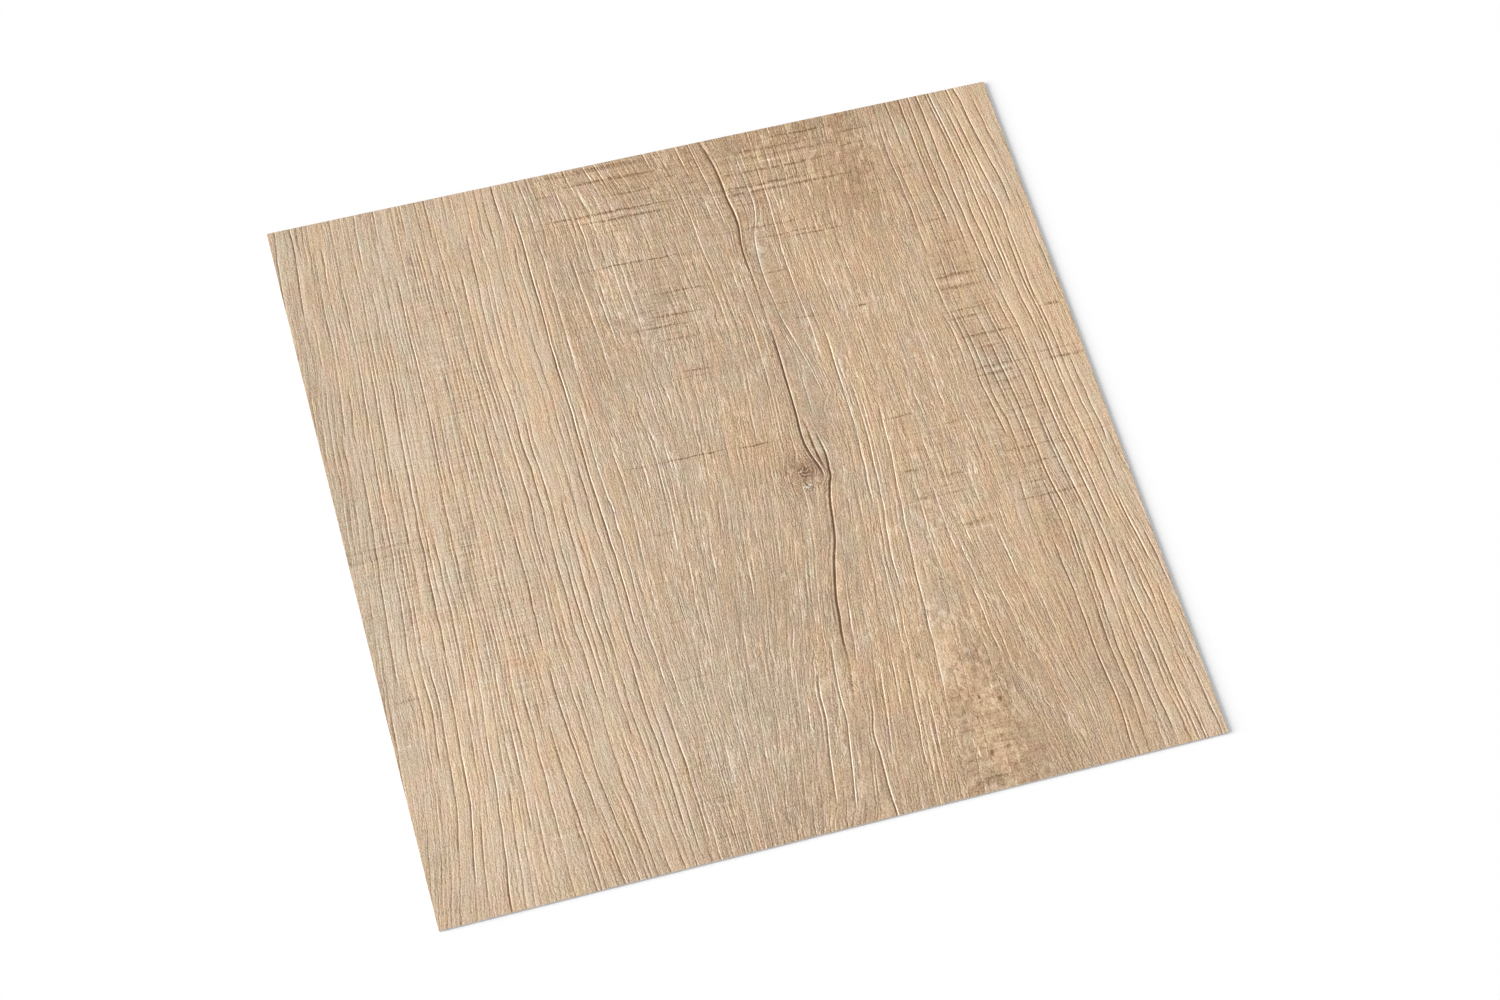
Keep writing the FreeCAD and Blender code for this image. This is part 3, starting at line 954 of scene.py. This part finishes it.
def grain_lines_group():
    """Lines along the grain, from 0 to 1: noise drawn out along the tile."""
    inputs = {"Place": None, "Spacing": 0.001, "Length": 0.02, "Detail": 1.0, "Seed": 0.0}
    tree, bench, ins, lines = new_group("Grain Lines", "Lines", inputs)
    place = bench.joined(*in_gaps(bench, ins), ins["Seed"])
    bench.link(bench.noise(place, 1.0, ins["Detail"]), lines)
    return tree


def fine_grooves_group():
    """Thin wandering grooves along the grain: 1 in the middle of each, 0 between them."""
    inputs = {"Place": None, "Spacing": 0.001, "Length": 0.02, "Width": 0.1, "Seed": 0.0}
    tree, bench, ins, groove = new_group("Fine Grooves", "Groove", inputs)
    across, along = in_gaps(bench, ins)
    crook = bench.centred(bench.noise(ins["Place"], 1 / (FINE_CROOK_STEP * MM), 1.0))
    across = bench.maths("MULTIPLY_ADD", crook, FINE_CROOK, across)
    off = bench.centred(bench.noise(bench.joined(across, along, ins["Seed"]), 1.0, 0.6))
    off = bench.maths("ABSOLUTE", off)
    bench.link(bench.spread(off, 0.0, ins["Width"], 1.0, 0.0, smooth=True), groove)
    return tree


def in_gaps(bench, ins):
    """A group's place across and along, counted in its spacing and its length."""
    parts = bench.split(ins["Place"])
    across = bench.maths("DIVIDE", parts[0], ins["Spacing"])
    return across, bench.maths("DIVIDE", parts[1], ins["Length"])


def filler_speckle_group():
    """The fine, sandy unevenness of filled vinyl, from 0 to 1."""
    tree, bench, ins, speckle = new_group("Filler Speckle", "Speckle", {"Place": None, "Grain": 0.0004})
    scale = bench.maths("DIVIDE", 1.0, ins["Grain"])
    bench.link(bench.noise(ins["Place"], scale, 2.0, 0.6), speckle)
    return tree


def small_mark_group():
    """A mark of the print: 1 in its middle, easing to 0 round it."""
    inputs = {"Place": None, "Middle": None, "Half Size": None}
    tree, bench, ins, mark = new_group("Small Mark", "Mark", inputs)
    offset = bench.vector("SUBTRACT", ins["Place"], ins["Middle"])
    off = bench.vector("LENGTH", bench.vector("DIVIDE", offset, ins["Half Size"]))
    bench.link(bench.spread(off, *MARK_FADE, 1.0, 0.0, smooth=True), mark)
    return tree


def cross_marks(bench, groups, across, along):
    """How dark the saw's marks are at each place, before they break up."""
    wobble = bench.centred(bench.noise(bench.joined(across, along), 1 / (SAW_WOBBLE_STEP * MM)))
    bent, left, right = SAW_BEND
    bend = bench.spread(across, left * MM, right * MM, bent / 2 * MM, -bent / 2 * MM, smooth=True)
    along = bench.maths("MULTIPLY_ADD", wobble, SAW_WOBBLE * MM, bench.maths("ADD", along, bend))
    place = bench.joined(across, along)
    total = 0.0
    for x, y, half_x, half_y, dark in CROSS_MARKS:
        straight = y + bent / 2 - bent * ease((x - left) / (right - left))
        mark = bench.mark(groups, place, x, straight, half_x, half_y)
        total = bench.maths("MULTIPLY_ADD", mark, dark, total)
    return total


def emptied(owner):
    """A bench for the node tree of a material or world, with nothing in the tree."""
    owner.use_nodes = True
    owner.node_tree.nodes.clear()
    return Bench(owner.node_tree)


def new_material(name):
    """An empty material with a Principled shader joined to its output, and a bench to fill it at."""
    material = bpy.data.materials.new(name)
    bench = emptied(material)
    shader = bench.add("ShaderNodeBsdfPrincipled")
    bench.add("ShaderNodeOutputMaterial", {"Surface": shader.outputs[0]})
    return material, bench, shader.inputs


def bump(bench, shader, height):
    """Relief too fine for the mesh. Its height is in millimetres."""
    made = bench.add("ShaderNodeBump", {"Strength": 1.0, "Distance": MM, "Height": height})
    bench.link(made.outputs[0], shader["Normal"])


def knot_print(bench, point):
    """The knot in the print: how far each place is in its halo, its rings, and its core and pith."""

    def within(distance, low, high, most=1.0):
        return bench.spread(distance, low * MM, high * MM, most, 0.0, smooth=True)

    wander = bench.centred(bench.noise(point, 1 / (KNOT_WANDER_STEP * MM)))
    straight = bench.vector("DISTANCE", point, (KNOT[0] * MM, KNOT[1] * MM, 0))
    off = bench.maths("MULTIPLY_ADD", wander, KNOT_WANDER * MM, straight)
    halo = within(off, KNOT_CORE, KNOT_HALO)
    core = within(off, KNOT_CORE * 0.8, KNOT_CORE * 1.3)
    curl = bench.vector("DISTANCE", point, (KNOT_CURL[0] * MM, KNOT_CURL[1] * MM, 0))
    core = bench.maths("MAXIMUM", core, within(curl, KNOT_CORE * 0.6, KNOT_CORE * 1.2, 0.9))
    waves = bench.maths("COSINE", bench.maths("MULTIPLY", off, 2 * math.pi / (KNOT_RING_GAP * MM)))
    past = bench.spread(off, KNOT_CORE * MM, 2 * KNOT_CORE * MM, smooth=True)
    inside = within(off, KNOT_HALO * 0.9, KNOT_HALO * 1.2)
    broken = bench.spread(bench.noise(point, 1 / (RING_BREAK * MM)), 0.42, 0.6)
    rings = bench.maths("MULTIPLY", bench.maths("MULTIPLY", past, inside), broken)
    rings = bench.maths("MULTIPLY", rings, waves)
    curled = bench.maths("ABSOLUTE", bench.centred(bench.noise(point, 1 / (PITH_GRAIN * MM), 0.5)))
    pith = bench.spread(curled, 0.01, 0.075, 1.7, -0.6, smooth=True)
    return halo, rings, bench.maths("MULTIPLY", core, pith)


def tinted(bench, colour, amount, over, under):
    """The colour, multiplied by one tint as the amount goes above 0 and by the other as it goes below."""
    for sign, tint in ((1.0, over), (-1.0, under)):
        share = bench.maths("MULTIPLY", amount, sign, clamp=True)
        colour = bench.mix(share, colour, (*tint, 1), blend="MULTIPLY")
    return colour


def inked(bench, light, inks):
    """The colour of each lightness, on a ramp through the inks from the darkest to the palest."""
    ramp = bench.add("ShaderNodeValToRGB", {0: light})
    stops = ramp.color_ramp.elements
    for spot in INK_STOPS[1:-1]:
        stops.new(spot)
    for stop, spot, ink in zip(stops, INK_STOPS, inks):
        stop.position = spot
        stop.color = (*ink, 1)
    return ramp.outputs[0]


def face_material(settings, groups):
    """The printed and embossed face, under a satin clear layer."""
    material, bench, shader = new_material("printed_wood_face")
    place = bench.attribute("grain_place", "Vector")
    _, along, across = bench.split(place)
    lightened, warmed, blotched = bench.split(bench.attribute("tone", "Vector"))
    groove = bench.attribute("groove")
    # Painted highlight on the flank of each groove that faces the key light, and on its lip.
    cream = bench.attribute("cream_edge")
    figured = bench.attribute("figured")
    fineness, highlight_strength, darkness, shading = (
        bench.maths("MULTIPLY_ADD", figured, more, plain) for plain, more in FIGURE_CHANGES)
    point = bench.joined(across, along)

    light, height = PLAIN_LIGHT, 0.0
    for k, (gap, length, detail, share) in enumerate(SOFT_STREAKS):
        streaks = bench.centred(bench.lines(groups, place, gap, length, detail, 3.7 * k + 1.0))
        light = bench.maths("MULTIPLY_ADD", streaks, 2 * share, light)
    for k, (gap, length, width, least, most, share, depth) in enumerate(FINE_GROOVES):
        seed = 5.3 * k + 40
        inputs = {"Place": place, "Spacing": gap * MM, "Length": length * MM, "Width": width, "Seed": seed}
        fine = bench.group(groups["grooves"], inputs)
        shown = bench.lines(groups, place, COVER_GAPS * gap, COVER_LENGTHS * length, 1.0, seed)
        shown = bench.spread(shown, least, most)
        fine = bench.maths("MULTIPLY", fine, bench.maths("MULTIPLY", shown, fineness))
        tinge = bench.maths("MULTIPLY", fine, shading if share < 0 else figured)
        light = bench.maths("MULTIPLY_ADD", tinge, share, light)
        height = bench.maths("MULTIPLY_ADD", fine, -depth, height)
    sand = bench.centred(bench.group(groups["speckle"], {"Place": point, "Grain": SAND_GRAIN * MM}))

    saw = cross_marks(bench, groups, across, along)
    broken = bench.spread(bench.lines(groups, place, *SAW_BREAKS), 0.3, 0.52)
    dots = bench.spread(bench.noise(point, 1 / (DOT_GRAIN * MM), 1.0), 0.42, 0.6, 0.35, 1.0)
    broken = bench.maths("MULTIPLY", broken, dots)
    halo, rings, pith = knot_print(bench, point)

    hatch = bench.centred(bench.lines(groups, bench.joined(along, across), *HATCH))
    hatch_shown = bench.maths("MULTIPLY_ADD", bench.attribute("hatched"), 0.85, 0.15)
    toothed = bench.maths("MULTIPLY_ADD", hatch, 3.0, 0.8, clamp=True)
    saw = bench.maths("MULTIPLY", bench.maths("MULTIPLY", saw, broken), toothed)
    hatch = bench.maths("MULTIPLY", hatch, hatch_shown)

    light = bench.weighed(light, {"sand": sand, "tone": lightened, "figured": figured}, LIGHTNESS)
    # The grooves are darkened by their depth: partly print ink, partly painted shade in the recess.
    light = bench.maths("SUBTRACT", light, bench.maths("MULTIPLY", groove, darkness))
    # The painted highlight lightens the lit flanks.
    light = bench.maths("MULTIPLY_ADD", cream, highlight_strength, light)
    parts = {"saw": saw, "halo": halo, "rings": rings, "pith": pith, "hatch": hatch}
    light = bench.weighed(light, parts, LIGHTNESS)
    blotches = bench.spread(bench.lines(groups, point, *BLOTCH), 0.36, 0.64, -1.0, 1.0)
    blotches = bench.maths("MULTIPLY", blotches, blotched)
    light = bench.weighed(light, {"blotches": blotches}, LIGHTNESS)
    for *where, change in SPECKS:
        light = bench.maths("MULTIPLY_ADD", bench.mark(groups, point, *where), change, light)

    inks = (settings.dark_ink, settings.tan_ink, settings.pale_ink, settings.cream_ink)
    colour = inked(bench, light, inks)
    warmth = bench.centred(bench.lines(groups, place, *WARMTH))
    warmth = bench.weighed(0.0, {"warmth": warmth, "tone": warmed, "halo": halo}, WARMING)
    colour = tinted(bench, colour, warmth, settings.warm_tint, settings.grey_tint)
    blush = bench.centred(bench.lines(groups, point, *BLUSH))
    blush = bench.weighed(0.0, {"blush": blush, "halo": halo}, BLUSHING)
    colour = tinted(bench, colour, blush, settings.pink_tint, settings.green_tint)
    bench.link(colour, shader["Base Color"])

    sheen = bench.weighed(settings.face_roughness, {"sand": sand, "groove": groove}, ROUGHENING)
    bench.link(sheen, shader["Roughness"])
    parts = {"sand": sand, "hatch": hatch, "rings": rings, "pith": pith, "blotches": blotches}
    bump(bench, shader, bench.weighed(height, parts, RELIEF))
    return material


def body_material(settings, groups):
    """The filled vinyl under the print, seen on the cut sides and the back."""
    material, bench, shader = new_material("filled_vinyl_body")
    flat = bench.add("ShaderNodeTexCoord").outputs["Object"]
    fine, coarse = (
        bench.group(groups["speckle"], {"Place": flat, "Grain": grain * MM}) for grain in BACK_GRAINS)
    drawn = bench.lines(groups, flat, *BACK_LINES)
    mottle = bench.weighed(0.0, {"fine": fine, "coarse": coarse, "drawn": drawn}, MOTTLE)
    dark, pale = ([min(1.0, shade * c) for c in settings.body_colour] for shade in BACK_SHADES)
    colour = bench.mix(bench.spread(mottle, 0.35, 0.65), (*dark, 1), (*pale, 1))
    bench.link(colour, shader["Base Color"])
    bench.link(bench.spread(fine, 0.3, 0.7, 0.55, 0.72), shader["Roughness"])
    bump(bench, shader, bench.weighed(0.0, {"fine": fine, "drawn": drawn}, BACK_RELIEF))
    return material


def number_field(name, description, default, least=0.0, **more):
    return bpy.props.FloatProperty(name=name, description=description, default=default, min=least, **more)


def angle_field(name, description, degrees, **more):
    return bpy.props.FloatProperty(
        name=name, description=description, default=math.radians(degrees), subtype="ANGLE", **more)


def colour_field(name, description, default, most=1.0):
    return bpy.props.FloatVectorProperty(
        name=name, description=description, default=default, subtype="COLOR", size=3, min=0.0, max=most)


class TileSettings(bpy.types.PropertyGroup):
    """Sizes and inks of the tile."""

    groove_depth: number_field(
        "Groove depth", "Depth of a full groove pressed into the face. The splits go deeper",
        0.28 * MM, max=0.6 * MM, precision=5, unit="LENGTH")
    dark_ink: colour_field("Dark ink", "Brown of the darkest grain", (0.230, 0.125, 0.058))
    tan_ink: colour_field("Tan ink", "Main colour of the wood", (0.615, 0.452, 0.302))
    pale_ink: colour_field("Pale ink", "Colour of the light streaks", (0.770, 0.612, 0.458))
    cream_ink: colour_field("Cream ink", "Colour of the palest spots", (0.880, 0.785, 0.650))
    warm_tint: colour_field("Warm tint", "What the peach areas are multiplied by", (1.06, 1.0, 0.91), 1.5)
    grey_tint: colour_field("Grey tint", "What the grey areas are multiplied by", (0.95, 1.0, 1.05), 1.5)
    pink_tint: colour_field("Pink tint", "What the pinkish areas are multiplied by", (1.02, 0.975, 1.01), 1.5)
    green_tint: colour_field(
        "Green tint", "What the greenish areas are multiplied by", (0.98, 1.02, 0.99), 1.5)
    face_roughness: number_field(
        "Face roughness", "Roughness of the clear layer over the print", 0.5, max=1.0, subtype="FACTOR")
    body_colour: colour_field("Body colour", "Filled vinyl on the cut sides and the back", (0.56, 0.55, 0.53))


SENSOR_WIDTH = 36.0          # mm, of the camera


class StudioSettings(bpy.types.PropertyGroup):
    """The pale studio: floor, light and camera."""

    floor_size: number_field("Floor size", "Length of one side of the floor", 12.0, 1.0, unit="LENGTH")
    floor_colour: colour_field("Floor colour", "Colour of the floor", (0.9, 0.9, 0.9))
    sky_strength: number_field("Even light", "Light that comes from all round", 0.45)
    key_strength: number_field("Key strength", "Strength of the light from the left", 3.68)
    key_spread: angle_field("Key spread", "How wide the light on the left looks from the tile", 40, min=0.0)
    key_height: angle_field(
        "Key height", "Angle of that light above the floor", 28, min=0.0, max=math.radians(90))
    camera_turn: angle_field("Camera turn", "Angle of the camera round the tile from its near edge", -20.48)
    camera_height: angle_field("Camera height", "Angle of the camera above the floor", 62.94)
    camera_roll: angle_field("Camera roll", "Tilt of the camera about its line of sight", 5.30)
    camera_distance: number_field(
        "Camera distance", "From the camera to what it points at", 1.1889, 0.1, unit="LENGTH")
    camera_aim: bpy.props.FloatVectorProperty(
        name="Camera aim", description="Point of the floor that the camera points at", size=3,
        default=(0.0043, -0.0119, 0.0), subtype="XYZ", unit="LENGTH")
    lens: number_field("Lens", "Focal length on a 36 mm wide sensor", 73.27, 10.0, unit="CAMERA")


def add_object(context, name, data):
    made = bpy.data.objects.new(name, data)
    context.scene.collection.objects.link(made)
    return made


class VINYLTILE_OT_add_tile(bpy.types.Operator):
    """Adds the printed and embossed tile"""

    bl_idname = "vinyltile.add_tile"
    bl_label = "Embossed Tile"

    def execute(self, context):
        settings = context.scene.vinyl_tile
        piece = add_object(context, "embossed_tile", tile_mesh(settings))
        groups = {
            "lines": grain_lines_group(),
            "grooves": fine_grooves_group(),
            "speckle": filler_speckle_group(),
            "mark": small_mark_group(),
        }
        piece.data.materials.append(face_material(settings, groups))
        piece.data.materials.append(body_material(settings, groups))
        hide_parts("vinyl_tile")
        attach(piece, "root")
        return {"FINISHED"}


def seen_by_eye(bench):
    """1 for rays that show a background: the camera's, and those that metal and glass send on."""
    path = bench.add("ShaderNodeLightPath").outputs
    seen = bench.maths("MAXIMUM", path["Is Camera Ray"], path["Is Glossy Ray"])
    return bench.maths("MAXIMUM", seen, path["Is Transmission Ray"])


def floor_material(colour):
    """Pale matt floor that reads as white to the eye and still takes a shadow."""
    material = bpy.data.materials.new("studio_floor")
    bench = emptied(material)
    matt = bench.add("ShaderNodeBsdfDiffuse", {"Color": (*colour, 1)})
    lift = bench.maths("MULTIPLY", seen_by_eye(bench), 1 - min(colour))
    glow = bench.add("ShaderNodeEmission", {"Strength": lift})
    both = bench.add("ShaderNodeAddShader", {0: matt.outputs[0], 1: glow.outputs[0]})
    bench.add("ShaderNodeOutputMaterial", {"Surface": both.outputs[0]})
    return material


def pale_world(strength):
    """Even light from all round, in front of which the eye sees plain white."""
    world = bpy.data.worlds.new("pale_studio")
    bench = emptied(world)
    lit = bench.add("ShaderNodeBackground", {"Color": (1, 1, 1, 1), "Strength": strength})
    white = bench.add("ShaderNodeBackground", {"Color": (1, 1, 1, 1), "Strength": 1.0})
    inputs = {0: seen_by_eye(bench), 1: lit.outputs[0], 2: white.outputs[0]}
    bench.add("ShaderNodeOutputWorld", {"Surface": bench.add("ShaderNodeMixShader", inputs).outputs[0]})
    return world


def camera_pose(studio):
    """The camera's place and turn, looking at its aim from its angles."""
    turn, height, roll = studio.camera_turn, studio.camera_height, studio.camera_roll
    back = Vector((math.sin(turn) * math.cos(height), -math.cos(turn) * math.cos(height), math.sin(height)))
    level = Vector((0, 0, 1)).cross(back).normalized()
    upward = back.cross(level)
    right = level * math.cos(roll) + upward * math.sin(roll)
    pose = Matrix((right, back.cross(right), back)).transposed().to_4x4()
    pose.translation = Vector(studio.camera_aim) + back * studio.camera_distance
    return pose


class VINYLTILE_OT_add_studio(bpy.types.Operator):
    """Adds a pale floor, soft light from the left and the camera"""

    bl_idname = "vinyltile.add_studio"
    bl_label = "Pale Studio"

    def execute(self, context):
        studio = context.scene.vinyl_studio
        half = studio.floor_size / 2
        mesh = bpy.data.meshes.new("studio_floor")
        corners = [(-half, -half, 0), (half, -half, 0), (half, half, 0), (-half, half, 0)]
        mesh.from_pydata(corners, [], [(0, 1, 2, 3)])
        mesh.materials.append(floor_material(studio.floor_colour))
        floor = add_object(context, "studio_floor", mesh)

        lamp = bpy.data.lights.new("key_light", "SUN")
        lamp.energy = studio.key_strength
        lamp.angle = studio.key_spread
        key = add_object(context, "key_light", lamp)
        toward = Vector((-math.cos(studio.key_height), 0, math.sin(studio.key_height)))
        key.location = toward * studio.camera_distance
        key.rotation_euler = toward.to_track_quat("Z", "Y").to_euler()
        context.scene.world = pale_world(studio.sky_strength)

        lens = bpy.data.cameras.new("photo_camera")
        lens.lens = studio.lens
        lens.sensor_width = SENSOR_WIDTH
        lens.clip_end = 2 * studio.floor_size
        camera = add_object(context, "photo_camera", lens)
        camera.matrix_world = camera_pose(studio)
        context.scene.camera = camera
        context.scene.view_settings.view_transform = "Standard"
        return {"FINISHED"}


class VINYLTILE_PT_panel(bpy.types.Panel):
    bl_label = "Vinyl Tile"
    bl_space_type = "VIEW_3D"
    bl_region_type = "UI"
    bl_category = "Vinyl Tile"

    def draw(self, context):
        layout = self.layout
        layout.operator(VINYLTILE_OT_add_tile.bl_idname)
        layout.operator(VINYLTILE_OT_add_studio.bl_idname)
        for settings in (context.scene.vinyl_tile, context.scene.vinyl_studio):
            box = layout.box()
            for name in settings.__annotations__:
                box.prop(settings, name)


CLASSES = (
    TileSettings,
    StudioSettings,
    VINYLTILE_OT_add_tile,
    VINYLTILE_OT_add_studio,
    VINYLTILE_PT_panel,
)


def register():
    for item in CLASSES:
        bpy.utils.register_class(item)
    bpy.types.Scene.vinyl_tile = bpy.props.PointerProperty(type=TileSettings)
    bpy.types.Scene.vinyl_studio = bpy.props.PointerProperty(type=StudioSettings)


def unregister():
    del bpy.types.Scene.vinyl_studio
    del bpy.types.Scene.vinyl_tile
    for item in reversed(CLASSES):
        bpy.utils.unregister_class(item)


def main():
    register()
    bpy.ops.vinyltile.add_tile()
    bpy.ops.vinyltile.add_studio()


if __name__ == "__main__":
    main()
